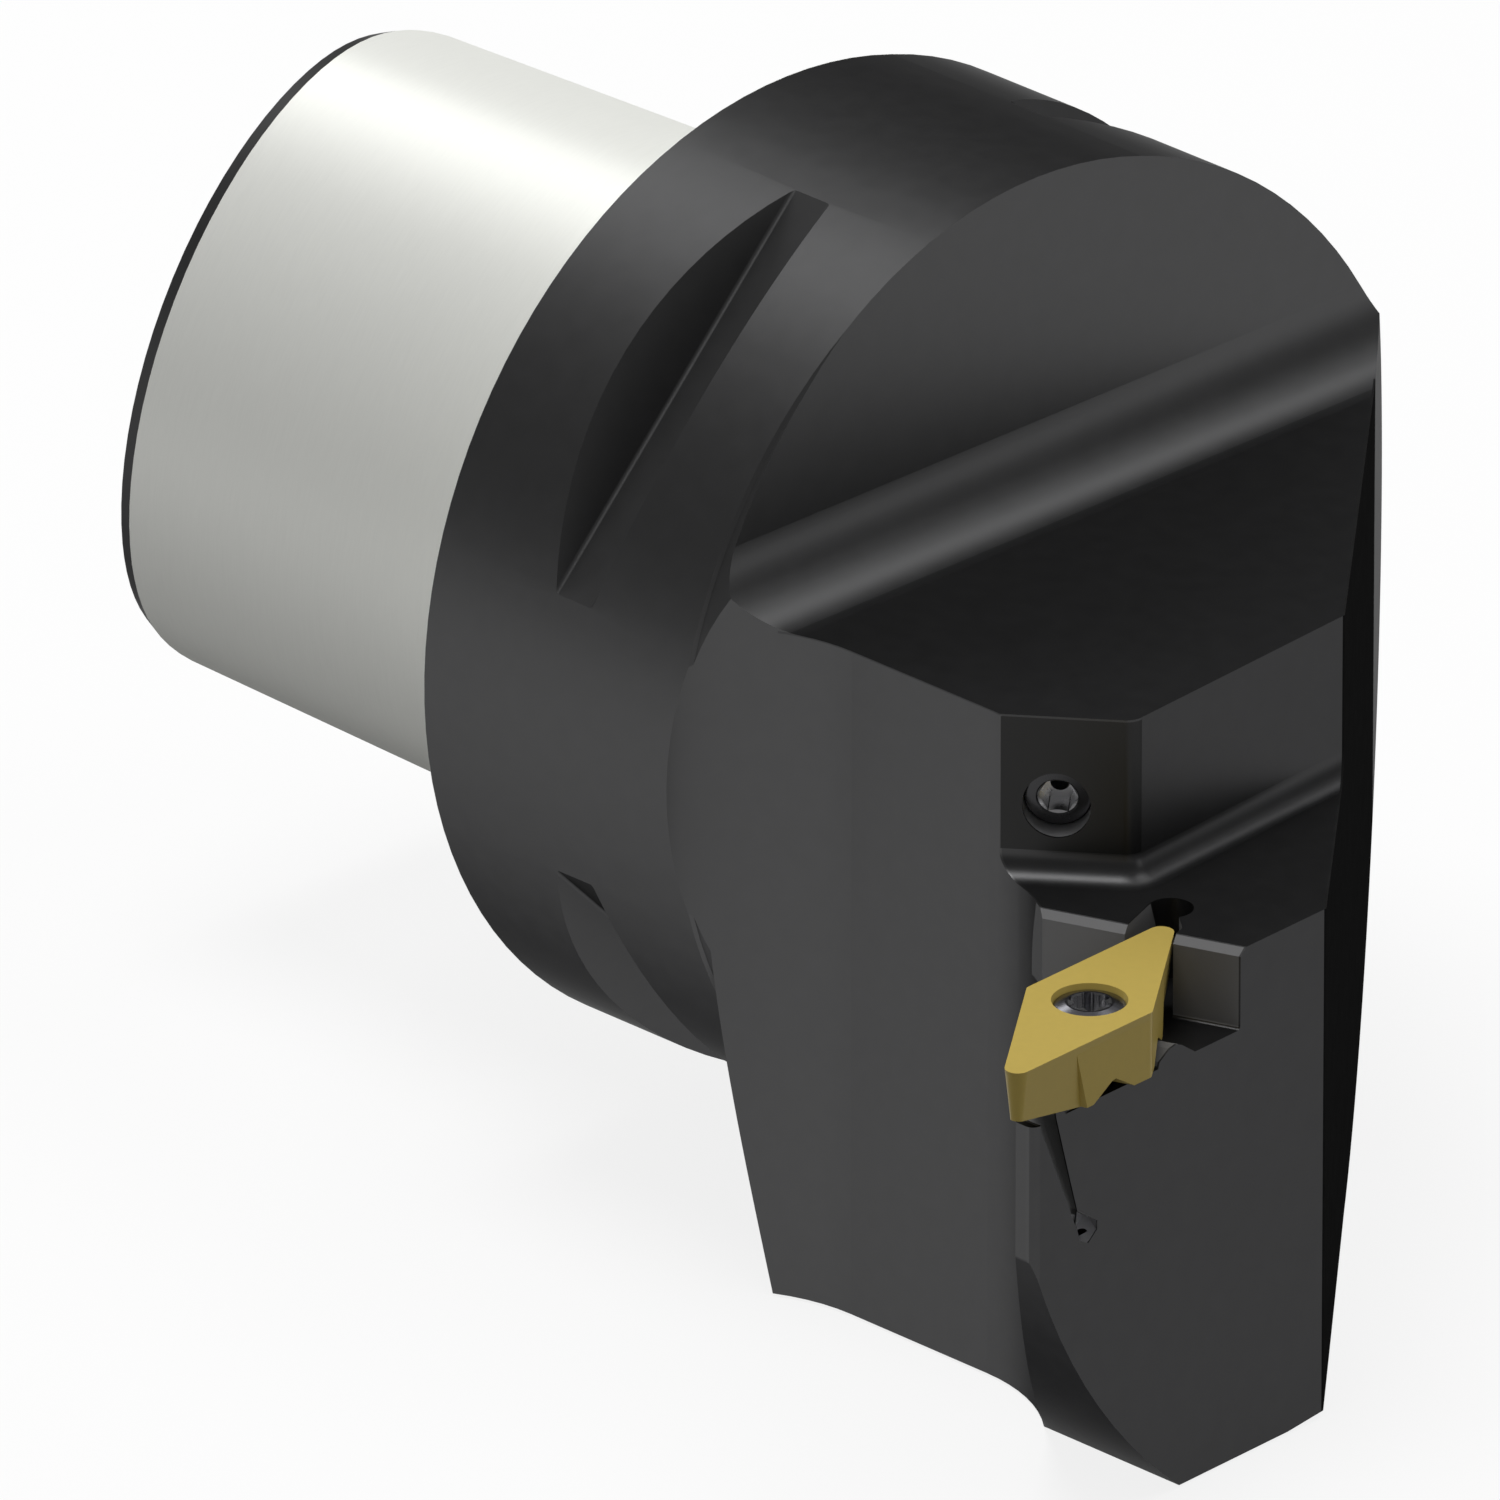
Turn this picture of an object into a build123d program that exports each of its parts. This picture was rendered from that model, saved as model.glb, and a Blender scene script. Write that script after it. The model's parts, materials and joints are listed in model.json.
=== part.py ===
from build123d import *
import os
from math import cos, pi, radians, sin, sqrt, tan

# Turning tool holder with a polygonal taper shank, a 35 degree indexable insert and coolant
# over and under the cutting edge.  Millimetres.
# Origin: centre of the flange's contact face, on the shank axis.  +X runs from the shank to the
# cutting head, +Z is up, the cutting tip points to -Y and the top face of the insert is z = 0.

# ---- driving dimensions ------------------------------------------------------------------
# shank: three-lobed 1:20 taper, size 63
SHANK_LEN = 38.0          # contact face to the small end
SHANK_MEAN_D = 44.2       # mean diameter of the polygon at the contact face
LOBE_OFFSET = 1.34        # how far the three lobes stand out from the mean circle
LOBE_PHASE = 30.0         # turns one lobe to +Z
SHANK_TAPER = 1 / 20
SHANK_LEAD, SHANK_LEAD_ANGLE = 1.25, 22.0   # lead-in chamfer at the small end
SECTION_POINTS = 36       # spline points round one polygon section

# clamping bore in the shank
BORE_D, GROOVE_D, STOP_D = 28.0, 31.6, 23.0
GROOVE_START, GROOVE_END, STOP_START, STOP_END = -31.0, -25.5, -24.0, -15.0
THREAD_MINOR_D, THREAD_END = 17.5, 8.0      # M20 x 2 draw-bar thread, cut as its minor bore
MAIN_CHANNEL_D, MAIN_CHANNEL_END = 10.0, 34.0

# flange
FLANGE_D = 63.0
FLANGE_LEN = 22.0
FLANGE_EDGE = 0.2         # chamfer at the front edge of the flange
GRIP_FLOOR_R = 27.9       # chord height of the four gripper grooves
GRIP_X0, GRIP_X1 = 10.2, 13.3
GRIP_WALL_ANGLE = 30.0
GRIP_FILLET = 0.35

# head blank
HEAD_R = FLANGE_D / 2 - FLANGE_EDGE
HEAD_STRETCH = 0.7        # the round back is this much longer towards +Y
ARM_R = 44.4              # turned radius of the arm that carries the insert
CONE_X0, CONE_X1 = 22.9, 26.25
BOTTOM_Z = -34.0
FOOT_Y = -18.5            # the flat foot ends here and the underside rises to the round back
UNDERSIDE = ((-15.3, -33.75), (3.0, -31.15))

# faces seen in plan: angle of each face's line from +X, and a point on it
FRONT_ANGLE, FRONT_POINT = 93.2, (62.68, -28.0)
SLANT_ANGLE, SLANT_POINT = 131.23, (48.71, -0.07)
NOZZLE_FACE_ANGLE, NOZZLE_FACE_POINT = 37.9, (44.46, -25.61)
STEP_FACE_ANGLE, STEP_FACE_POINT = 94.9, (50.71, -19.18)
END_Y = -42.1             # outer end face of the arm
END_FILLET = 0.6

# head top
TOP_Z = 11.04
SHOULDER_X = 21.67        # half-round shoulder face at the top of the flange
SHOULDER_LEAN = 4.0       # and how much it leans
SHOULDER_FILLET = 5.0
ARM_TOP_Z = 0.3
STEP_FILLET = 1.6
STEP_CORNER = 1.2

# milled recess on the -Y side, cut with one end mill
MILL_R = 12.0
RECESS_Y = -25.7
RECESS_X0, RECESS_X1 = 31.5, 43.3           # cutter centres
RECESS_EXIT_ANGLE = -52.0

# insert: 35 degree rhombus, 8 mm inscribed circle
INSERT_ANGLE = 35.0
INSCRIBED_D = 8.0
NOSE_R, OBTUSE_R = 0.8, 0.5
INSERT_H = 4.4
FLANK_ANGLE = 6.0
REACH_X, REACH_Y = 65.0, -45.0              # foremost and outermost points of the nose
EDGE_LEAD = 93.0                            # direction of the front cutting edge from +X
HOLE_R, HOLE_BORE_R, HOLE_THROAT_R = 2.36, 2.25, 1.75
HOLE_CHAMFER = 0.4
HOLE_SEAT_Z0, HOLE_SEAT_Z1 = -1.5, -2.2
CORE_DROP, CORE_TOP = 0.5, -0.2             # the upright middle part shows below CORE_DROP
CORE_HALF = (6.6, 5.6)                      # its half length at the top and at the bottom
NOSE_BEVEL = ((5.6, -4.4), (14.0, -2.85))   # underside of each nose, from the middle outwards
CROSS_GROOVE = ((1.5, -4.4), (3.1, -3.33), (3.45, -3.4), (5.05, -4.4))
LONG_GROOVE = (1.1, 0.7, -3.4)              # half width at the mouth and at the roof, roof height
LONG_GROOVE_END = 7.1

# seat
SEAT_Z = -5.1
SEAT_WALL = 9.75          # from the insert's middle to the wall behind it
SEAT_CHAMFER = 0.5
SEAT_FILLET = 0.25
NOTCH_X0, NOTCH_X1 = -2.03, 1.2             # rear-nose clearance notch, across the seat
NOTCH_HOLE_R, NOTCH_HOLE = 1.42, (-0.61, 13.45)
RAIL = ((5.9, -5.2), (4.6, -4.22), (4.1, -4.0), (3.55, -4.1), (2.65, -4.68), (2.5, -5.2))
RAIL_HALF_LEN = 4.1
STEM = (0.95, 0.6, -3.46)                   # half width at the foot and at the crest, crest height
STEM_END = 6.7

# insert screw M3 and its thread in the seat
SCREW_TOP, SCREW_RIM, SCREW_R = -0.13, -0.35, 1.48   # the head slopes from its top to its rim
SCREW_HEAD_R, SCREW_TOP_R = 2.2, 1.5
SCREW_CONE_Z0, SCREW_CONE_Z1, SCREW_END = -1.5, -2.15, -12.0
SCREW_HOLE_R, SCREW_HOLE_END = 1.5, -14.5
TORX_R, TORX_LOBE_R, TORX_DEPTH = 1.4, 0.38, 1.3

# coolant nozzle above the insert, aimed at the cutting tip
NOZZLE_ALONG, NOZZLE_Z = 3.3, 5.05          # place on its face, from the face's left edge
NOZZLE_HOLE_D, NOZZLE_D, NOZZLE_LEN = 4.25, 4.21, 6.5
NOZZLE_SINK, NOZZLE_ROUND = 0.9, 0.2        # depth below the face, rounding of its rim
NOZZLE_KEY, NOZZLE_KEY_DEPTH, NOZZLE_JET_D = 2.2, 1.6, 1.2
NOZZLE_FEED_D = 3.0

# under-coolant jet and its feed, drilled from the foot and closed by a plug
JET = (62.37, -36.75, -14.31)               # jet hole in the floor of its pocket
JET_D, JET_AIM = 0.75, (64.4, -44.9, 0.0)
JET_POCKET = ((-38.06, -12.02), (-36.22, -13.28), (-36.22, -13.89), (-37.04, -14.54),
              (-37.78, -14.14), (-38.15, -13.0))    # its mouth on the front face
JET_POCKET_RUN = (-1.6, 0.72, -0.56)        # direction and length of the pocket from its mouth
JET_RELIEF = ((-38.24, -12.9), (-39.72, -9.34), (-41.38, -5.45), (-41.38, -4.2), (-40.1, -4.2),
              (-40.02, -4.99), (-38.71, -9.7), (-38.06, -11.95))
JET_RELIEF_DEPTH = 1.4
FEED_ENTRY = (52.0, -22.2)
FEED_JET_END = (59.0, -33.6, -17.0)
FEED_MAIN_END = (28.0, 0.0, -2.0)
FEED_D = 3.0
PLUG_D, PLUG_LEN, PLUG_KEY, PLUG_KEY_DEPTH, PLUG_ROUND = 6.0, 5.0, 3.0, 2.4, 0.5
PLUG_SINK = 0.6

FAR = 90.0                # past every face of the tool


# ---- small helpers -----------------------------------------------------------------------
def unit(angle):
    return Vector(cos(radians(angle)), sin(radians(angle)), 0)


def polygon(points):
    return make_face(Polyline(*points, close=True))


def prism_y(points, half):
    """Prism along Y from an outline in X and Z."""
    return extrude(polygon([(x, 0, z) for x, z in points]), half, dir=(0, 1, 0), both=True)


def prism_x(points, x0, x1):
    """Prism along X from an outline in Y and Z."""
    return extrude(polygon([(x0, y, z) for y, z in points]), x1 - x0, dir=(1, 0, 0))


def prism_z(sketch, z0, z1):
    return extrude(Pos(0, 0, z0) * sketch, z1 - z0, dir=(0, 0, 1))


def rod(start, end, diameter):
    """Round bar or drilled hole between two points."""
    start, end = Vector(*start), Vector(*end)
    return extrude(Plane(start, z_dir=end - start) * Circle(diameter / 2), (end - start).length)


def line_meets(point, angle, other, other_angle):
    """Crossing of two plan lines, each a point and its angle."""
    a, b = unit(angle), unit(other_angle)
    gap = Vector(*other) - Vector(*point)
    t = (gap.X * b.Y - gap.Y * b.X) / (a.X * b.Y - a.Y * b.X)
    return Vector(*point) + a * t


# ---- shank and flange --------------------------------------------------------------------
def lobe_section(x, mean_d):
    """Three-lobed section with the same width all round."""
    phase = radians(LOBE_PHASE)
    points = []
    for i in range(SECTION_POINTS):
        t = 2 * pi * i / SECTION_POINTS
        reach = mean_d / 2 - LOBE_OFFSET * cos(3 * t)
        side = 3 * LOBE_OFFSET * sin(3 * t)
        points.append((x, reach * cos(t + phase) - side * sin(t + phase),
                       reach * sin(t + phase) + side * cos(t + phase)))
    return Face(Wire([Edge.make_spline([Vector(*p) for p in points], periodic=True)]))


def shank():
    lead_x = -SHANK_LEN + SHANK_LEAD
    lead_d = SHANK_MEAN_D + lead_x * SHANK_TAPER
    cone = loft([lobe_section(0, SHANK_MEAN_D), lobe_section(lead_x, lead_d)], ruled=True)
    lead = loft([lobe_section(lead_x, lead_d),
                 lobe_section(-SHANK_LEN, lead_d - 2 * SHANK_LEAD * tan(radians(SHANK_LEAD_ANGLE)))], ruled=True)
    return cone + lead


def clamping_bore():
    """Segment-clamping bore, draw-bar thread and main coolant channel, one turned shape."""
    half = [d / 2 for d in (BORE_D, GROOVE_D, STOP_D, THREAD_MINOR_D, MAIN_CHANNEL_D)]
    bore, groove, stop, thread, channel = half
    profile = [
        (-SHANK_LEN - 1, 0), (-SHANK_LEN - 1, bore + 1), (-SHANK_LEN, bore + 1),
        (-SHANK_LEN + 1.5, bore), (GROOVE_START, bore), (GROOVE_START + 1, groove),
        (GROOVE_END, groove), (STOP_START, stop), (STOP_END, stop), (STOP_END, thread + 1),
        (STOP_END + 1, thread), (THREAD_END, thread), (THREAD_END + 2, channel),
        (MAIN_CHANNEL_END, channel), (MAIN_CHANNEL_END + channel / 2, channel / 8),
        (MAIN_CHANNEL_END + channel / 2, 0)]
    return revolve(polygon([(x, 0, r) for x, r in profile]), Axis.X, 360)


def gripper_groove(angle):
    """Straight trapezoid groove across the flange, for the tool changer."""
    run = (40 - GRIP_FLOOR_R) * tan(radians(GRIP_WALL_ANGLE))
    cutter = prism_y([(GRIP_X0, GRIP_FLOOR_R), (GRIP_X1, GRIP_FLOOR_R),
                      (GRIP_X1 + run, 40), (GRIP_X0 - run, 40)], 40)
    floor_edges = cutter.edges().filter_by(Axis.Y).group_by(Axis.Z)[0]
    return Rot(angle, 0, 0) * fillet(floor_edges, GRIP_FILLET)


# ---- head --------------------------------------------------------------------------------
def flange():
    profile = [(0, 0), (0, FLANGE_D / 2), (FLANGE_LEN, FLANGE_D / 2),
               (FLANGE_LEN + FLANGE_EDGE, HEAD_R), (FLANGE_LEN + FLANGE_EDGE, 0)]
    return revolve(polygon([(x, 0, r) for x, r in profile]), Axis.X, 360)


def head_blank():
    """Round back of the head, and the arm turned to a larger radius with its flat foot."""
    back = extrude(Plane.YZ * (Circle(HEAD_R) + Pos(HEAD_STRETCH, 0) * Circle(HEAD_R)
                               + Pos(HEAD_STRETCH / 2, 0) * Rectangle(HEAD_STRETCH, 2 * HEAD_R)), FAR)
    profile = [(CONE_X0 - 2, 0), (CONE_X0 - 2, HEAD_R - 3), (CONE_X0, HEAD_R), (CONE_X1, ARM_R),
               (FAR, ARM_R), (FAR, 0)]
    turned = revolve(polygon([(x, 0, r) for x, r in profile]), Axis.X, 360)
    arm = prism_x([(0, 0), UNDERSIDE[1], UNDERSIDE[0], (FOOT_Y, BOTTOM_Z), (-FAR, BOTTOM_Z),
                   (-FAR, ARM_TOP_Z), (0, ARM_TOP_Z)], -1, FAR)
    return back + (turned & arm)


def plan_envelope():
    """Slanted back face, front face and outer end face of the head, seen from above."""
    tip = line_meets(FRONT_POINT, FRONT_ANGLE, (0, END_Y), 0)
    heel = line_meets(FRONT_POINT, FRONT_ANGLE, SLANT_POINT, SLANT_ANGLE)
    back = line_meets(SLANT_POINT, SLANT_ANGLE, (0, FAR), 0)
    sketch = polygon([(-FAR, END_Y), (tip.X, tip.Y), (heel.X, heel.Y),
                      (back.X, back.Y), (-FAR, FAR)])
    corner = sketch.vertices().sort_by_distance(tip)[0]
    return prism_z(fillet(corner, END_FILLET), -FAR, FAR)


def shoulder_cut():
    """Clears the head down to its top face, leaving the leaning half-round shoulder."""
    lean = tan(radians(SHOULDER_LEAN))
    foot_x = SHOULDER_X + (FLANGE_D / 2 - TOP_Z) * lean
    top_x = SHOULDER_X - (FAR - FLANGE_D / 2) * lean
    cutter = prism_y([(foot_x, TOP_Z), (FAR, TOP_Z), (FAR, FAR), (top_x, FAR)], FAR)
    corner = cutter.edges().filter_by(Axis.Y).sort_by_distance((foot_x, 0, TOP_Z))[0]
    return fillet(corner, SHOULDER_FILLET)


def step_cut():
    """Chip gully above the insert, between the nozzle face and the step face."""
    corner = line_meets(NOZZLE_FACE_POINT, NOZZLE_FACE_ANGLE, STEP_FACE_POINT, STEP_FACE_ANGLE)
    left = corner - unit(NOZZLE_FACE_ANGLE) * 18
    back = line_meets(STEP_FACE_POINT, STEP_FACE_ANGLE, (0, FAR), 0)
    sketch = polygon([(left.X, left.Y), (corner.X, corner.Y), (back.X, back.Y),
                      (FAR, FAR), (FAR, -FAR), (left.X, -FAR)])
    sketch = fillet(sketch.vertices().sort_by_distance(corner)[0], STEP_CORNER)
    cutter = prism_z(sketch, ARM_TOP_Z, FAR)
    return fillet(cutter.edges().group_by(Axis.Z)[0], STEP_FILLET)


def side_recess():
    """End-milled recess between the flange and the arm, open to -Y."""
    mill_y = RECESS_Y - MILL_R
    turn = radians(90 + RECESS_EXIT_ANGLE)
    leave = (RECESS_X1 + MILL_R * cos(turn), mill_y + MILL_R * sin(turn))
    run = 50 * unit(RECESS_EXIT_ANGLE)
    sketch = polygon([(RECESS_X0, RECESS_Y), (RECESS_X1, RECESS_Y), (RECESS_X1, mill_y), leave,
                      (leave[0] + run.X, leave[1] + run.Y), (RECESS_X0 - MILL_R, leave[1] + run.Y),
                      (RECESS_X0 - MILL_R, mill_y), (RECESS_X0, mill_y)])
    for x in (RECESS_X0, RECESS_X1):
        sketch += Pos(x, mill_y) * Circle(MILL_R)
    return prism_z(sketch, -FAR, FAR)


# ---- insert seat, in the insert's own frame: local X across it, local Y to its rear nose --
def insert_middle():
    """Centre of the rhombus, from the reach of its nose."""
    half_diagonal = INSCRIBED_D / sin(radians(INSERT_ANGLE)) * cos(radians(INSERT_ANGLE / 2))
    to_nose = half_diagonal - NOSE_R / sin(radians(INSERT_ANGLE / 2))
    nose = Vector(REACH_X - NOSE_R, REACH_Y + NOSE_R, 0)
    return nose + unit(EDGE_LEAD + INSERT_ANGLE / 2) * to_nose


SEAT = Plane(insert_middle(), x_dir=unit(EDGE_LEAD + INSERT_ANGLE / 2 - 90), z_dir=(0, 0, 1))


def seat_cut():
    """Flat-bottomed seat with a chamfered wall, and the notch that clears the rear nose."""
    outline = [(-40, SEAT_Z), (SEAT_WALL, SEAT_Z), (SEAT_WALL, ARM_TOP_Z - SEAT_CHAMFER),
               (SEAT_WALL + SEAT_CHAMFER, ARM_TOP_Z), (SEAT_WALL + SEAT_CHAMFER, 5), (-40, 5)]
    cutter = prism_x(outline, -13, 15)
    foot = cutter.edges().filter_by(Axis.X).sort_by_distance((0, SEAT_WALL, SEAT_Z))[0]
    cutter = fillet(foot, SEAT_FILLET)
    hole_x, hole_y = NOTCH_HOLE
    side = NOTCH_HOLE_R * sqrt(0.5)
    notch = polygon([(NOTCH_X0, SEAT_WALL - 1), (NOTCH_X1, SEAT_WALL - 1),
                     (NOTCH_X1, SEAT_WALL + 1.4), (hole_x + side, hole_y - side),
                     (hole_x, hole_y), (hole_x - NOTCH_HOLE_R, hole_y)])
    notch += Pos(hole_x, hole_y) * Circle(NOTCH_HOLE_R)
    return SEAT * (cutter + prism_z(notch, SEAT_Z, 5))


def seat_rail():
    """T-shaped rail on the seat floor that the insert's underside locks onto."""
    bar = prism_x(RAIL, -RAIL_HALF_LEN, RAIL_HALF_LEN + 3)
    foot, crest, top = STEM
    outline = [(-foot, SEAT_Z - 0.1), (-crest, top), (crest, top), (foot, SEAT_Z - 0.1)]
    stem = prism_y(outline, 20) & prism_x([(-STEM_END, -9), (2.6, -9), (2.6, 0), (-STEM_END, 0)],
                                          -5, 5)
    return SEAT * (bar + stem)


# ---- coolant -----------------------------------------------------------------------------
NOZZLE_MOUTH = (Vector(*NOZZLE_FACE_POINT) + unit(NOZZLE_FACE_ANGLE) * NOZZLE_ALONG
                + Vector(0, 0, NOZZLE_Z))
NOZZLE_DIR = (Vector(REACH_X - NOSE_R, REACH_Y + NOSE_R, 0) - NOZZLE_MOUTH).normalized()


def nozzle_hole():
    back = NOZZLE_MOUTH - NOZZLE_DIR * (NOZZLE_SINK + NOZZLE_LEN)
    return (rod(NOZZLE_MOUTH + NOZZLE_DIR * 3, back, NOZZLE_HOLE_D)
            + rod(back + NOZZLE_DIR * 0.5, (MAIN_CHANNEL_END - 3, 0, 0), NOZZLE_FEED_D))


def on_front(y, z):
    """Point of the front face."""
    x = line_meets(FRONT_POINT, FRONT_ANGLE, (0, y), 0).X
    return Vector(x, y, z)


def jet_pocket():
    """Small slanting pocket in the front face; its floor is square to the jet."""
    run = Vector(*JET_POCKET_RUN)
    mouth = polygon([on_front(y, z) - run * 0.5 for y, z in JET_POCKET])
    aim = (Vector(*JET_AIM) - Vector(*JET)).normalized()
    above_floor = extrude(Plane(Vector(*JET), z_dir=aim) * Rectangle(20, 20), 20)
    return extrude(mouth, run.length * 1.5, dir=run) & above_floor


def jet_relief():
    """Groove up the front face from the jet to the underside of the tip, deeper at the top."""
    low, top = on_front(*JET_RELIEF[0]), on_front(*JET_RELIEF[2])
    floor_x = top.X - JET_RELIEF_DEPTH
    floor = prism_y([(low.X - 0.2, low.Z - 1), (floor_x, top.Z), (floor_x, 0), (70, 0),
                     (70, low.Z - 1)], FAR)
    return prism_x(JET_RELIEF, 50, 70) & floor


def under_coolant():
    """Jet below the edge, its feed from the main channel, and the plugged drilling in the foot."""
    x, y = FEED_ENTRY
    depth = BOTTOM_Z + PLUG_SINK + PLUG_LEN
    corner = (x, y, depth - 0.2)
    return (rod(JET, FEED_JET_END, JET_D) + rod((x, y, BOTTOM_Z - 1), (x, y, depth), PLUG_D)
            + rod(corner, FEED_JET_END, FEED_D) + rod(corner, FEED_MAIN_END, FEED_D))


# ---- pieces ------------------------------------------------------------------------------
def holder_body():
    head = (flange() + head_blank()) & plan_envelope()
    head -= shoulder_cut()
    head -= step_cut()
    head -= side_recess()
    head -= seat_cut()
    head += seat_rail() & plan_envelope()
    body = head + shank()
    for angle in (45, 135, 225, 315):
        body -= gripper_groove(angle)
    body -= clamping_bore()
    body -= nozzle_hole()
    body -= under_coolant()
    body -= jet_pocket()
    body -= jet_relief()
    return body - SEAT * Pos(0, 0, SCREW_HOLE_END) * Cylinder(
        SCREW_HOLE_R, 20, align=(Align.CENTER, Align.CENTER, Align.MIN))


def rhombus(inscribed_d):
    edge = inscribed_d / sin(radians(INSERT_ANGLE))
    half_long, half_short = (edge * f(radians(INSERT_ANGLE / 2)) for f in (cos, sin))
    sketch = polygon([(0, -half_long), (half_short, 0), (0, half_long), (-half_short, 0)])
    noses = sketch.vertices().filter_by(lambda v: abs(v.X) < 0.1)
    sketch = fillet(noses, NOSE_R)
    sides = sketch.vertices().sort_by(Axis.X)
    return fillet([sides[0], sides[-1]], OBTUSE_R)


def screw_hole():
    flare = (HOLE_R - HOLE_BORE_R) / HOLE_CHAMFER
    profile = [(0, 1), (HOLE_R + flare, 1), (HOLE_BORE_R, -HOLE_CHAMFER),
               (HOLE_BORE_R, HOLE_SEAT_Z0), (HOLE_THROAT_R, HOLE_SEAT_Z1),
               (HOLE_THROAT_R, -6), (0, -6)]
    return revolve(polygon([(r, 0, z) for r, z in profile]), Axis.Z, 360)


def insert_core():
    """Upright middle part of the insert, proud of the relieved flanks."""
    top, foot = CORE_HALF
    ends = prism_x([(-top, CORE_TOP), (top, CORE_TOP), (foot, -INSERT_H), (-foot, -INSERT_H)], -9, 9)
    inset = CORE_DROP * tan(radians(FLANK_ANGLE))
    return prism_z(rhombus(INSCRIBED_D - 2 * inset), -INSERT_H, CORE_TOP) & ends


def insert():
    body = extrude(rhombus(INSCRIBED_D), INSERT_H, dir=(0, 0, -1), taper=FLANK_ANGLE)
    body += insert_core()
    body -= screw_hole()
    (y0, z0), (y1, z1) = NOSE_BEVEL
    bevel = prism_x([(y0, z0), (y1, z1), (y1, -6), (y0, -6)], -9, 9)
    groove = prism_x([*CROSS_GROOVE, (CROSS_GROOVE[-1][0], -6), (CROSS_GROOVE[0][0], -6)], -9, 9)
    mouth, roof, roof_z = LONG_GROOVE
    channel = prism_y([(-mouth, -INSERT_H - 0.1), (-roof, roof_z), (roof, roof_z),
                       (mouth, -INSERT_H - 0.1)], 20)
    body -= channel & Box(9, 2 * LONG_GROOVE_END, 20)
    for turn in (0, 180):
        body -= Rot(0, 0, turn) * (bevel + groove)
    return SEAT * body


def torx():
    star = Circle(TORX_R - TORX_LOBE_R)
    for i in range(6):
        star += Rot(0, 0, 60 * i) * Pos(TORX_R - TORX_LOBE_R, 0) * Circle(TORX_LOBE_R)
    return star


def insert_screw():
    profile = [(0, SCREW_TOP), (SCREW_TOP_R, SCREW_TOP), (SCREW_HEAD_R, SCREW_RIM),
               (SCREW_HEAD_R, SCREW_CONE_Z0), (SCREW_R, SCREW_CONE_Z1), (SCREW_R, SCREW_END + 0.5),
               (SCREW_R - 0.5, SCREW_END), (0, SCREW_END)]
    body = revolve(polygon([(r, 0, z) for r, z in profile]), Axis.Z, 360)
    return SEAT * (body - prism_z(torx(), SCREW_TOP - TORX_DEPTH, 1))


def threaded_plug(diameter, length, rounding, key, key_depth):
    """Hex-socket grub piece along -Z from z = 0; the threads are plain cylinders."""
    radius = diameter / 2
    profile = [(0, 0), (radius, 0), (radius, 0.3 - length), (radius - 0.3, -length), (0, -length)]
    body = revolve(polygon([(r, 0, z) for r, z in profile]), Axis.Z, 360)
    body = fillet(body.edges().group_by(Axis.Z)[-1], rounding)
    body -= extrude(RegularPolygon(key / 2, 6, major_radius=False), key_depth, dir=(0, 0, -1))
    mouth = key / sqrt(3) + 0.08
    return body - revolve(polygon([(0, 0, 0.1), (mouth + 0.1, 0, 0.1), (mouth - 0.4, 0, -0.4),
                                   (0, 0, -0.4)]), Axis.Z, 360)


def coolant_nozzle():
    body = threaded_plug(NOZZLE_D, NOZZLE_LEN, NOZZLE_ROUND, NOZZLE_KEY, NOZZLE_KEY_DEPTH)
    body -= rod((0, 0, 1), (0, 0, -NOZZLE_LEN - 1), NOZZLE_JET_D)
    level = NOZZLE_DIR.cross(Vector(0, 0, 1))
    return Plane(NOZZLE_MOUTH - NOZZLE_DIR * NOZZLE_SINK, x_dir=level, z_dir=NOZZLE_DIR) * body


def coolant_plug():
    body = threaded_plug(PLUG_D - 0.04, PLUG_LEN, PLUG_ROUND, PLUG_KEY, PLUG_KEY_DEPTH)
    return Plane((*FEED_ENTRY, BOTTOM_Z + PLUG_SINK), x_dir=(1, 0, 0), z_dir=(0, 0, -1)) * body


NODES = {
    "holder_body": holder_body,
    "insert": insert,
    "insert_screw": insert_screw,
    "coolant_nozzle": coolant_nozzle,
    "coolant_plug": coolant_plug,
}

os.makedirs("parts", exist_ok=True)
for name, make in NODES.items():
    solid = make()
    export_step(solid, f"parts/{name}.step")
    print(name, "volume", round(solid.volume, 1), "solids", len(solid.solids()))
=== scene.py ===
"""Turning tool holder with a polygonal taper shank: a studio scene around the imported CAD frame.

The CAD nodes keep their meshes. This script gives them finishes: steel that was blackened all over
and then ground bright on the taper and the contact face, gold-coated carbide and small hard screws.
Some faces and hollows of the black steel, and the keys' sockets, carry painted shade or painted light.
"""

import json
import math

import bpy
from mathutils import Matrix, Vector


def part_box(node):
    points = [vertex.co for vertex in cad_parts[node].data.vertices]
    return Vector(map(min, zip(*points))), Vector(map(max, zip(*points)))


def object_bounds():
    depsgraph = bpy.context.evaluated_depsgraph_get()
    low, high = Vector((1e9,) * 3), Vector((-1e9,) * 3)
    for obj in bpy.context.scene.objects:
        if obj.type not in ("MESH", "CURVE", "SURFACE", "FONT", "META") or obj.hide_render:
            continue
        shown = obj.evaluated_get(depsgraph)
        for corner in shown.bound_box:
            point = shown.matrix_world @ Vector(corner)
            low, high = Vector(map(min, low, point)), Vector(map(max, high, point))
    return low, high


MM = 0.001

# camera at the photograph's viewing angle, with its long lens
AIM = Vector((2.376, -5.454, -11.884)) * MM
TOWARDS_CAMERA = Vector((0.6419, -0.6401, 0.4221)).normalized()
CAMERA_DISTANCE = 2702.9 * MM
CAMERA_CLIP_END = 20.0
SENSOR_MM, LENS_MM = 36.0, 1043.3

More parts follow.
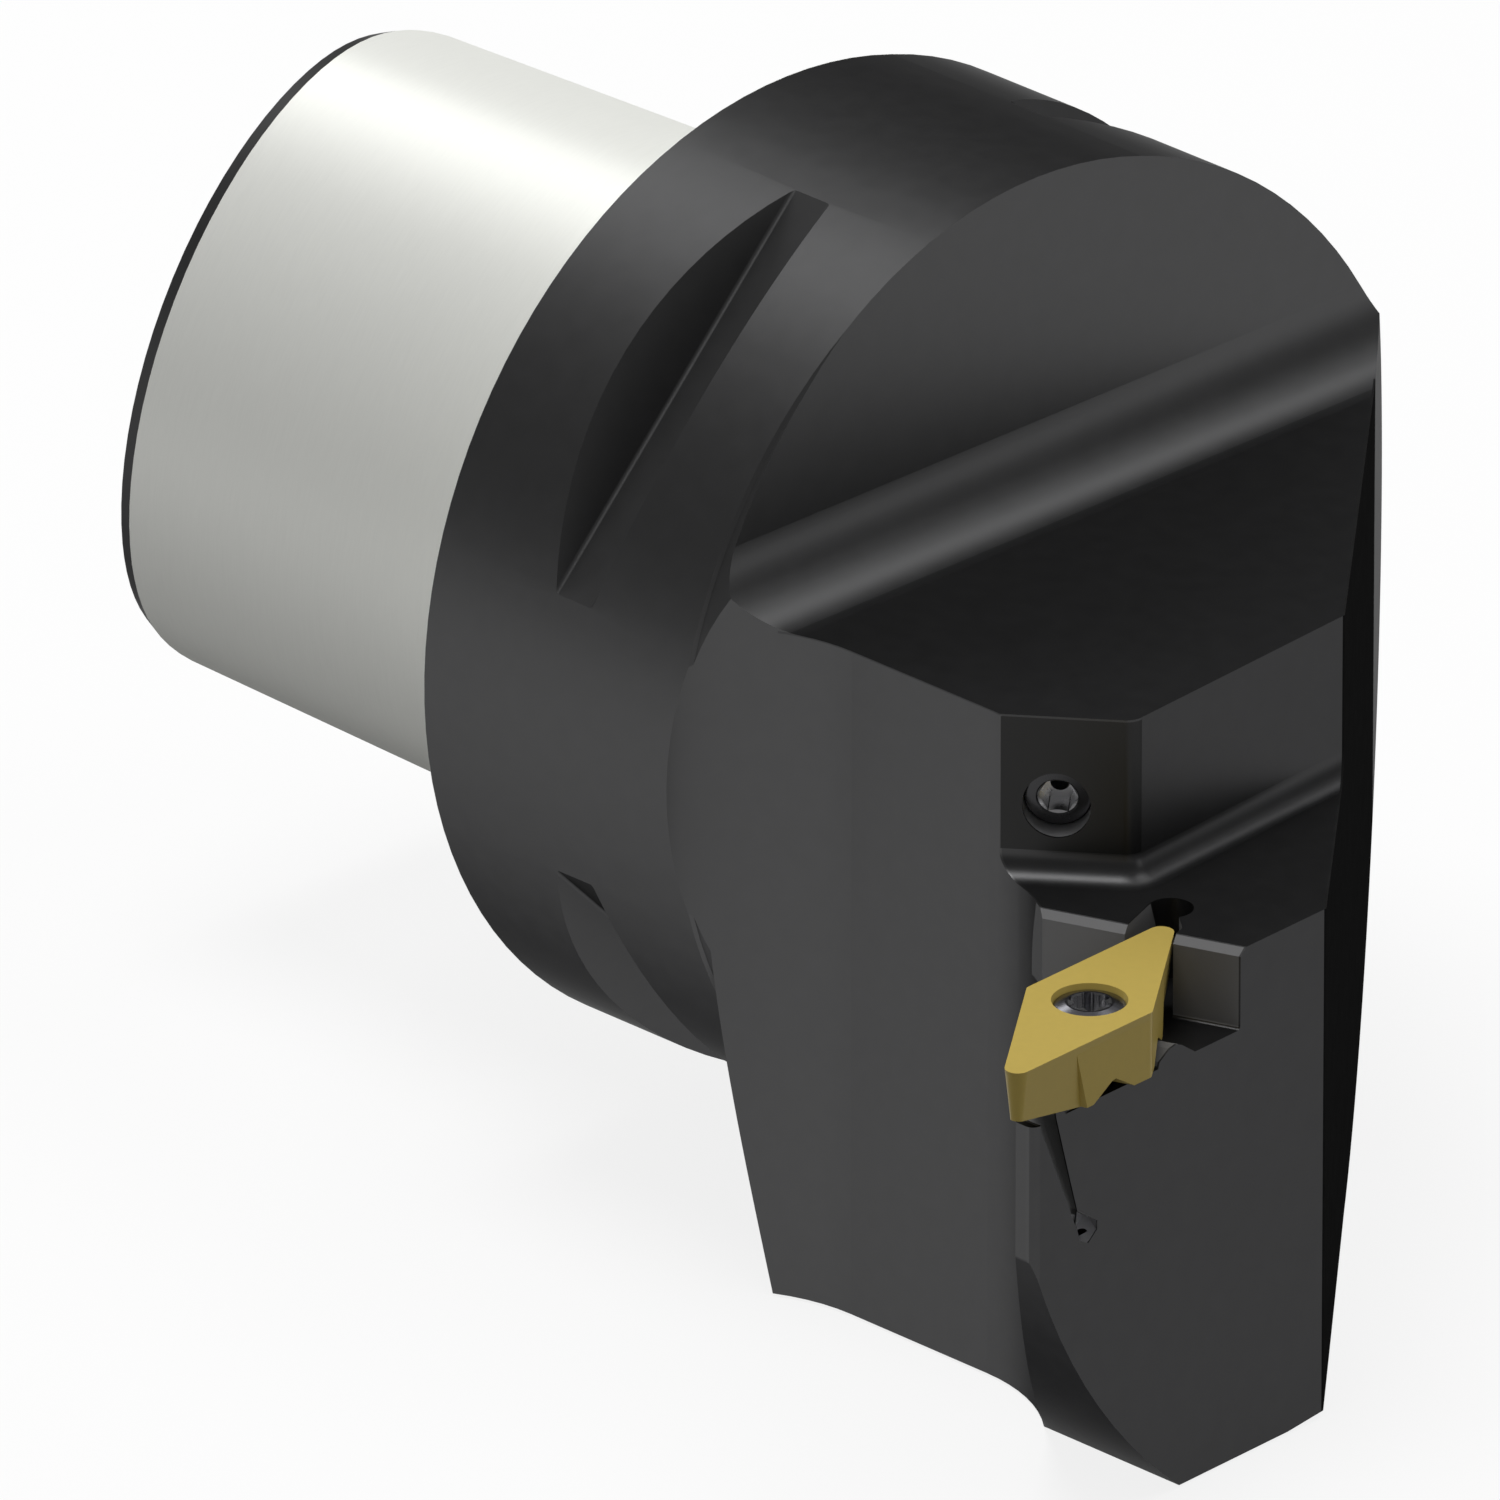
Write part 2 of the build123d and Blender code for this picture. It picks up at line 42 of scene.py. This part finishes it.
# floor
FLOOR_HALF = 30.0
FLOOR_GAP = 0.2 * MM
FLOOR_COLOUR = (0.90, 0.90, 0.90)
FLOOR_BOUNCE = (0.20, 0.20, 0.20)   # what the floor sends back on the object
FLOOR_WHITE_SHARE = 0.85            # of plain white, for camera, gloss and transmission
FLOOR_GRAIN, FLOOR_SPREAD = 40.0, 0.004

# lamps: name, elevation and azimuth in degrees, disk size in metres, irradiance at the object
LAMP_DISTANCE = 0.9
LAMPS = (
    ("lamp_left", 34, 170, 0.45, 0.95),
    ("lamp_top", 80, 240, 0.45, 1.65),
    ("lamp_low_right", 8, 30, 0.35, 0.14),
    ("lamp_right", 57, 45, 0.35, 0.35),
    ("lamp_back", 57, 90, 0.35, 0.33),
)
AMBIENT = 0.2

# the holder's finishes, some of them painted shade or painted light: base colours are linear
# one black in a lit copy and a darker shaded copy: the front, step and top take the shaded one as painted
# shade
LIT_BLACK = (0.082, 0.082, 0.083)
SHADED_BLACK = (0.058, 0.058, 0.059)
# painted shade on the nozzle's face
NOZZLE_FACE_SHADE = (0.03, 0.03, 0.03)
# painted light in the groove by the tip
RELIEF_PAINTED_LIGHT = (0.20, 0.20, 0.20)
SEAT_PAINTED_LIGHT = (0.20, 0.20, 0.203)    # the seat's walls are matt, and painted a little paler: painted light in the pocket
SLANT_PAINTED_SHADE = (0.018, 0.018, 0.018)   # the slanted side: painted shade, near black and matt, with no metal in it
DRILLING_PAINTED_LIGHT = (0.60, 0.60, 0.61)      # the drillings' walls, painted pale: painted light in the hollows
GROUND_STEEL = (0.85, 0.857, 0.815)
BLACK_SPREAD, SLANT_SHADE_SPREAD, GROUND_SPREAD = 0.06, 0.25, 0.03
BLACK_ROUGHNESS, BLACK_ROUGHNESS_SPREAD = 0.38, 0.02
GROUND_ROUGHNESS, GROUND_ROUGHNESS_SPREAD = 0.36, 0.03
BLACK_METALLIC, SEAT_METALLIC, SLANT_SHADE_METALLIC, GROUND_METALLIC = 0.9, 0.2, 0.0, 0.2
BLACK_EDGE_TINT = 0.3               # the gloss fades at a slant, but never to nothing
STEEL_GRAIN, STEEL_RELIEF = 700.0, 0.004 * MM
GRINDING_MARKS, GRINDING_STRETCH = 900.0, (9.0, 0.6, 0.6)   # fine rings left by the grinding wheel

# the small parts' finishes
GOLD, GOLD_ROUGHNESS, GOLD_METALLIC, GOLD_LEVEL = (0.52, 0.39, 0.095), 0.34, 0.02, 0.15
SCREW_STEEL, SCREW_ROUGHNESS = (0.16, 0.16, 0.175), 0.25
HARD_BLACK, NOZZLE_ROUGHNESS, PLUG_ROUGHNESS = (0.05, 0.05, 0.052), 0.28, 0.35
SOCKET_PAINTED_LIGHT = (0.60, 0.60, 0.61)      # a key's socket is painted pale: painted light inside the socket
HARD_GRAIN, HARD_RELIEF = 1500.0, 0.002 * MM
HARD_SPREAD, HARD_ROUGHNESS_SPREAD = 0.04, 0.03
RELIEF_STRENGTH = 0.5

# where the finishes, the painted shade and the painted light meet on the holder
SKIN = 0.12 * MM                    # a wall starts this far behind the face it opens in
GROUND_FRONT_X = 0.02 * MM          # the contact face belongs to the ground part
LEAD_LENGTH = 1.25 * MM             # the black chamfer at the small end of the taper
BORE_CLEAR_R = 17.5 * MM            # the hollow inside the shank stays black
RECESS_CENTRE, RECESS_R = Vector((43.3, -37.7, 0)) * MM, 12.1 * MM
HEAD_X = 26.3 * MM                  # past the flange and its front cone
SHADED_X, END_Y = 44.3 * MM, -42.05 * MM
TOP_Z = (10.95 * MM, 11.1 * MM)
FRONT_POINT, FRONT_NORMAL = Vector((62.68, -28.0, 0)) * MM, Vector((0.9984, 0.0558, 0))
SLANT_POINT, SLANT_NORMAL = Vector((48.71, -0.07, 0)) * MM, Vector((0.752, 0.659, 0))
NOZZLE_REACH, NOZZLE_R = 4.0 * MM, 2.2 * MM
NOZZLE_FACE_NORMAL, NOZZLE_FACE_REACH = Vector((0.614, -0.789, 0)), 12.0 * MM
NOZZLE_FACE_X, NOZZLE_FACE_Z = 44.35 * MM, (2.0 * MM, 10.9 * MM)
NOZZLE_FACE_SKIN = 0.6 * MM         # takes in part of the rounded edge beside the face, so the painted shade reaches onto that edge
RELIEF_Y, RELIEF_Z = (-41.6 * MM, -37.6 * MM), (-12.3 * MM, -4.0 * MM)
JET_CENTRE, JET_REACH = Vector((61.9, -37.1, -13.2)) * MM, 2.3 * MM
SEAT_Z, SEAT_REACH = (-4.95 * MM, 0.25 * MM), 14.5 * MM

# radius of the key's socket, which is painted pale as painted light
SCREW_KEY_R, NOZZLE_KEY_R = 1.35 * MM, 1.25 * MM


class Nodes:
    """A material's node tree, with short calls to add and join nodes."""

    def __init__(self, name):
        self.material = bpy.data.materials.new(name)
        self.material.use_nodes = True
        self.tree = self.material.node_tree
        self.tree.nodes.clear()

    def put(self, node, key, value):
        socket = node.inputs[key]
        if isinstance(value, bpy.types.NodeSocket):
            self.tree.links.new(value, socket)
        else:
            socket.default_value = value

    def add(self, kind, inputs, **settings):
        node = self.tree.nodes.new(kind)
        for key, value in settings.items():
            setattr(node, key, value)
        for key, value in inputs.items():
            self.put(node, key, value)
        return node

    def math(self, operation, a, b=0.0):
        return self.add("ShaderNodeMath", {0: a, 1: b}, operation=operation).outputs[0]

    def vector(self, operation, a, b, out="Vector"):
        return self.add("ShaderNodeVectorMath", {0: a, 1: b}, operation=operation).outputs[out]

    def mix(self, factor, a, b):
        node = self.add("ShaderNodeMix", {"Factor": factor, "A": a, "B": b}, data_type="FLOAT")
        return node.outputs["Result"]

    def mix_colour(self, factor, a, b):
        node = self.add("ShaderNodeMix", {0: factor, 6: a, 7: b}, data_type="RGBA")
        return node.outputs[2]

    def over(self, value, limit):
        return self.math("GREATER_THAN", value, limit)

    def under(self, value, limit):
        return self.math("LESS_THAN", value, limit)

    def between(self, value, limits):
        low, high = limits
        return self.math("MULTIPLY", self.over(value, low), self.under(value, high))

    def either(self, a, b):
        return self.math("MAXIMUM", a, b)

    def all(self, *masks):
        product = masks[0]
        for mask in masks[1:]:
            product = self.math("MULTIPLY", product, mask)
        return product

    def length(self, vector):
        return self.vector("LENGTH", vector, (0, 0, 0), "Value")

    def height_over(self, place, point, normal):
        """How far a place is in front of a plane."""
        offset = self.vector("SUBTRACT", place, tuple(point))
        return self.vector("DOT_PRODUCT", offset, tuple(normal), "Value")

    def within(self, place, point, axis, radius):
        """1 nearer to an axis than the radius."""
        offset = self.vector("SUBTRACT", place, tuple(point))
        return self.under(self.length(self.vector("CROSS_PRODUCT", offset, tuple(axis))), radius)

    def near(self, place, point, reach):
        """1 nearer to a point than the reach."""
        return self.under(self.length(self.vector("SUBTRACT", place, tuple(point))), reach)

    def place(self):
        return self.add("ShaderNodeTexCoord", {}).outputs["Object"]

    def noise(self, vector, scale, detail=3.0):
        inputs = {"Vector": vector, "Scale": scale, "Detail": detail}
        return self.add("ShaderNodeTexNoise", inputs).outputs["Fac"]

    def uneven(self, grain, value, spread):
        return self.mix(grain, value - spread, value + spread)

    def finish(self, colour, roughness, metallic, height, depth, tint=None, level=None):
        relief = self.add("ShaderNodeBump", {"Strength": RELIEF_STRENGTH, "Distance": depth, "Height": height})
        shader = self.add("ShaderNodeBsdfPrincipled", {
            "Base Color": colour, "Roughness": roughness, "Metallic": metallic,
            "Normal": relief.outputs["Normal"]})
        if tint is not None:
            shader.inputs["Specular Tint"].default_value = tint
        if level is not None:
            shader.inputs["Specular IOR Level"].default_value = level
        self.add("ShaderNodeOutputMaterial", {"Surface": shader.outputs[0]})
        return self.material


class Zones:
    """Where each finish of the holder lies, with the painted shade and painted light, by place on the part:
    masks of 1 inside and 0 outside.
    """

    def __init__(self, m, shank_end_x, nozzle_mouth, nozzle_axis, insert_centre):
        self.m = m
        self.shank_end_x = shank_end_x
        self.nozzle_mouth, self.nozzle_axis = nozzle_mouth, nozzle_axis
        self.insert_centre = insert_centre
        self.place = m.place()
        self.x, self.y, self.z = m.add("ShaderNodeSeparateXYZ", {0: self.place}).outputs

    def behind(self, point, normal):
        return self.m.under(self.m.height_over(self.place, point, normal), -SKIN)

    def behind_front(self):
        return self.behind(FRONT_POINT, FRONT_NORMAL)

    def ground(self):
        """The taper and the contact face."""
        m = self.m
        radius = m.length(m.vector("MULTIPLY", self.place, (0, 1, 1)))
        taper = m.between(self.x, (self.shank_end_x + LEAD_LENGTH, GROUND_FRONT_X))
        return m.all(taper, m.over(radius, BORE_CLEAR_R))

    def slant_shade(self):
        """The slanted side, painted near black as painted shade."""
        m = self.m
        slant = m.over(m.height_over(self.place, SLANT_POINT, SLANT_NORMAL), -SKIN)
        return m.all(slant, m.over(self.x, HEAD_X))

    def shaded_faces(self):
        """The front, step and top, without the turned surfaces and the side recess: they take the darker
        black, as painted shade.
        """
        m = self.m
        recess = m.near(m.vector("MULTIPLY", self.place, (1, 1, 0)), RECESS_CENTRE, RECESS_R)
        front = m.all(m.over(self.x, SHADED_X), m.over(self.y, END_Y), m.math("SUBTRACT", 1.0, recess))
        return m.either(front, m.all(m.between(self.z, TOP_Z), m.over(self.x, HEAD_X)))

    def nozzle_face(self):
        """The face that the nozzle sits in, and part of the rounded edge beside it: painted darker, as painted
        shade.
        """
        m = self.m
        off_face = m.math("ABSOLUTE", m.height_over(self.place, self.nozzle_mouth, NOZZLE_FACE_NORMAL))
        return m.all(m.under(off_face, NOZZLE_FACE_SKIN), m.over(self.x, NOZZLE_FACE_X),
                     m.between(self.z, NOZZLE_FACE_Z),
                     m.near(self.place, self.nozzle_mouth, NOZZLE_FACE_REACH))

    def seat(self):
        """The walls of the insert's seat, painted paler as painted light."""
        m = self.m
        return m.all(self.behind_front(), m.over(self.y, END_Y), m.between(self.z, SEAT_Z),
                     m.near(self.place, self.insert_centre, SEAT_REACH))

    def drilled(self):
        """The walls of the nozzle's hole and of the jet's pocket, painted pale as painted light."""
        m = self.m
        nozzle = m.all(m.near(self.place, self.nozzle_mouth, NOZZLE_REACH),
                       self.behind(self.nozzle_mouth, NOZZLE_FACE_NORMAL),
                       m.within(self.place, self.nozzle_mouth, self.nozzle_axis, NOZZLE_R))
        jet = m.all(self.behind_front(), m.near(self.place, JET_CENTRE, JET_REACH))
        return m.either(nozzle, jet)

    def relief(self):
        """The tapered groove between the insert and the jet, and part of the side face by the tip: painted
        paler, as painted light.
        """
        m = self.m
        return m.all(self.behind_front(), m.between(self.y, RELIEF_Y), m.between(self.z, RELIEF_Z))


def rgba(colour, factor=1.0):
    return tuple(c * factor for c in colour) + (1.0,)


def mottled(m, grain, colour, spread):
    """The colour, a little darker and lighter with the grain."""
    return m.mix_colour(grain, rgba(colour, 1 - spread), rgba(colour, 1 + spread))


def holder_steel(shank_end_x, nozzle_mouth, nozzle_axis, insert_centre):
    m = Nodes("holder_steel")
    zones = Zones(m, shank_end_x, nozzle_mouth, nozzle_axis, insert_centre)
    ground, slant_shade, seat = zones.ground(), zones.slant_shade(), zones.seat()
    grain = m.noise(zones.place, STEEL_GRAIN)
    marks = m.noise(m.vector("MULTIPLY", zones.place, GRINDING_STRETCH), GRINDING_MARKS)

    # painted shade: the front, step and top get the darker black
    colour = m.mix_colour(zones.shaded_faces(), mottled(m, grain, LIT_BLACK, BLACK_SPREAD),
                          mottled(m, grain, SHADED_BLACK, BLACK_SPREAD))
    # painted shade on the nozzle's face and the rounded edge beside it
    colour = m.mix_colour(zones.nozzle_face(), colour, rgba(NOZZLE_FACE_SHADE))
    # painted light: the seat's walls are painted paler than the black
    colour = m.mix_colour(seat, colour, rgba(SEAT_PAINTED_LIGHT))
    # painted light: the walls of the drillings are painted pale
    colour = m.mix_colour(zones.drilled(), colour, rgba(DRILLING_PAINTED_LIGHT))
    # painted light: the groove by the tip is painted paler
    colour = m.mix_colour(zones.relief(), colour, rgba(RELIEF_PAINTED_LIGHT))
    # painted shade: the slanted side is painted near black
    colour = m.mix_colour(slant_shade, colour, mottled(m, grain, SLANT_PAINTED_SHADE, SLANT_SHADE_SPREAD))
    colour = m.mix_colour(ground, colour, mottled(m, marks, GROUND_STEEL, GROUND_SPREAD))

    roughness = m.mix(ground, m.uneven(grain, BLACK_ROUGHNESS, BLACK_ROUGHNESS_SPREAD),
                      m.uneven(marks, GROUND_ROUGHNESS, GROUND_ROUGHNESS_SPREAD))
    black_metallic = m.mix(slant_shade, m.mix(seat, BLACK_METALLIC, SEAT_METALLIC), SLANT_SHADE_METALLIC)
    metallic = m.mix(ground, black_metallic, GROUND_METALLIC)
    return m.finish(colour, roughness, metallic, m.mix(ground, grain, marks), STEEL_RELIEF,
                    tint=(BLACK_EDGE_TINT,) * 3 + (1.0,), level=0.0)


def hard_finish(name, colour, roughness, metallic=1.0, level=None, key=None):
    """A fine-grained coating or hard steel. A key is its socket's centre, axis and radius; the socket is
    painted pale, as painted light.
    """
    m = Nodes(name)
    place = m.place()
    grain = m.noise(place, HARD_GRAIN)
    surface = mottled(m, grain, colour, HARD_SPREAD)
    if key:
        # painted light: the key's socket is painted pale
        surface = m.mix_colour(m.within(place, *key), surface, rgba(SOCKET_PAINTED_LIGHT))
    return m.finish(surface, m.uneven(grain, roughness, HARD_ROUGHNESS_SPREAD), metallic, grain,
                    HARD_RELIEF, level=level)


def white_rays(m):
    """1 for the rays that see plain white: camera, gloss and transmission."""
    path = m.add("ShaderNodeLightPath", {}).outputs
    return m.either(m.either(path["Is Camera Ray"], path["Is Glossy Ray"]), path["Is Transmission Ray"])


def floor_material():
    m = Nodes("pale_floor")
    grain = m.noise(m.place(), FLOOR_GRAIN)
    white = white_rays(m)
    colour = m.mix_colour(white, rgba(FLOOR_BOUNCE), mottled(m, grain, FLOOR_COLOUR, FLOOR_SPREAD))
    lit = m.add("ShaderNodeBsdfDiffuse", {"Color": colour})
    glow = m.add("ShaderNodeEmission", {"Color": (1, 1, 1, 1), "Strength": 1.0})
    share = m.math("MULTIPLY", white, FLOOR_WHITE_SHARE)
    both = m.add("ShaderNodeMixShader", {0: share, 1: lit.outputs[0], 2: glow.outputs[0]})
    m.add("ShaderNodeOutputMaterial", {"Surface": both.outputs[0]})
    return m.material


def link(name, data):
    obj = bpy.data.objects.new(name, data)
    bpy.context.scene.collection.objects.link(obj)
    return obj


def add_floor(z):
    mesh = bpy.data.meshes.new("floor")
    h = FLOOR_HALF
    mesh.from_pydata([(-h, -h, z), (h, -h, z), (h, h, z), (-h, h, z)], [], [(0, 1, 2, 3)])
    mesh.materials.append(floor_material())
    link("floor", mesh)


def face(obj, place, target):
    """Puts a camera or lamp at a place, looking at the target."""
    obj.location = place
    obj.rotation_euler = (place - target).to_track_quat("Z", "Y").to_euler()


def add_camera():
    data = bpy.data.cameras.new("camera")
    data.sensor_width = SENSOR_MM
    data.lens = LENS_MM
    data.clip_end = CAMERA_CLIP_END
    camera = link("camera", data)
    face(camera, AIM + CAMERA_DISTANCE * TOWARDS_CAMERA, AIM)
    bpy.context.scene.camera = camera


def add_lamps(centre):
    for name, elevation, azimuth, size, irradiance in LAMPS:
        up, round_z = math.radians(elevation), math.radians(azimuth)
        direction = Vector((math.cos(up) * math.cos(round_z), math.cos(up) * math.sin(round_z),
                            math.sin(up)))
        data = bpy.data.lights.new(name, "AREA")
        data.shape = "DISK"
        data.size = size
        data.energy = math.pi * LAMP_DISTANCE**2 * irradiance
        face(link(name, data), centre + LAMP_DISTANCE * direction, centre)


def add_world():
    world = bpy.data.worlds.new("studio")
    world.use_nodes = True
    background = world.node_tree.nodes["Background"]
    background.inputs["Color"].default_value = (1, 1, 1, 1)
    background.inputs["Strength"].default_value = AMBIENT
    bpy.context.scene.world = world


def give(node, material):
    for slot in frame["nodes"][node].material_slots:
        slot.material = material


def joint_line(child):
    """The point and the axis that a body turns about."""
    joint = next(joint for joint in frame["joints"] if joint["child"] == child)
    return Vector(joint["pos_m"]), Vector(joint["axis"])


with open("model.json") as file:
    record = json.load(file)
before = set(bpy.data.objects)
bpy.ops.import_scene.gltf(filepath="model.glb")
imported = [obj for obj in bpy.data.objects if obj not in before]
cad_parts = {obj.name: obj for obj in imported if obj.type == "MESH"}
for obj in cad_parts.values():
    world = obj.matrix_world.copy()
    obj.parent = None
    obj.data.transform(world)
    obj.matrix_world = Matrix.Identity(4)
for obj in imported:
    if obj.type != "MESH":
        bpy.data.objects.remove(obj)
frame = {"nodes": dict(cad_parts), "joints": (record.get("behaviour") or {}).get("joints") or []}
cad_box = [list(corner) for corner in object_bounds()]

screw_centre, screw_axis = joint_line("screw")
nozzle_mouth, nozzle_axis = joint_line("nozzle")
insert_low, insert_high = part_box("insert")
insert_centre = Vector(((insert_low.x + insert_high.x) / 2, (insert_low.y + insert_high.y) / 2,
                        insert_low.z))
shank_end_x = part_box("holder_body")[0].x

give("holder_body", holder_steel(shank_end_x, nozzle_mouth, nozzle_axis, insert_centre))
give("insert", hard_finish("gold_coating", GOLD, GOLD_ROUGHNESS, GOLD_METALLIC, GOLD_LEVEL))
give("insert_screw", hard_finish("screw_steel", SCREW_STEEL, SCREW_ROUGHNESS,
                                 key=(screw_centre, screw_axis, SCREW_KEY_R)))
give("coolant_nozzle", hard_finish("nozzle_steel", HARD_BLACK, NOZZLE_ROUGHNESS,
                                   key=(nozzle_mouth, nozzle_axis, NOZZLE_KEY_R)))
give("coolant_plug", hard_finish("plug_steel", HARD_BLACK, PLUG_ROUGHNESS))

low, high = (Vector(corner) for corner in cad_box)
add_floor(low.z - FLOOR_GAP)
add_camera()
add_lamps((low + high) / 2)
add_world()
bpy.context.scene.view_settings.view_transform = "Standard"
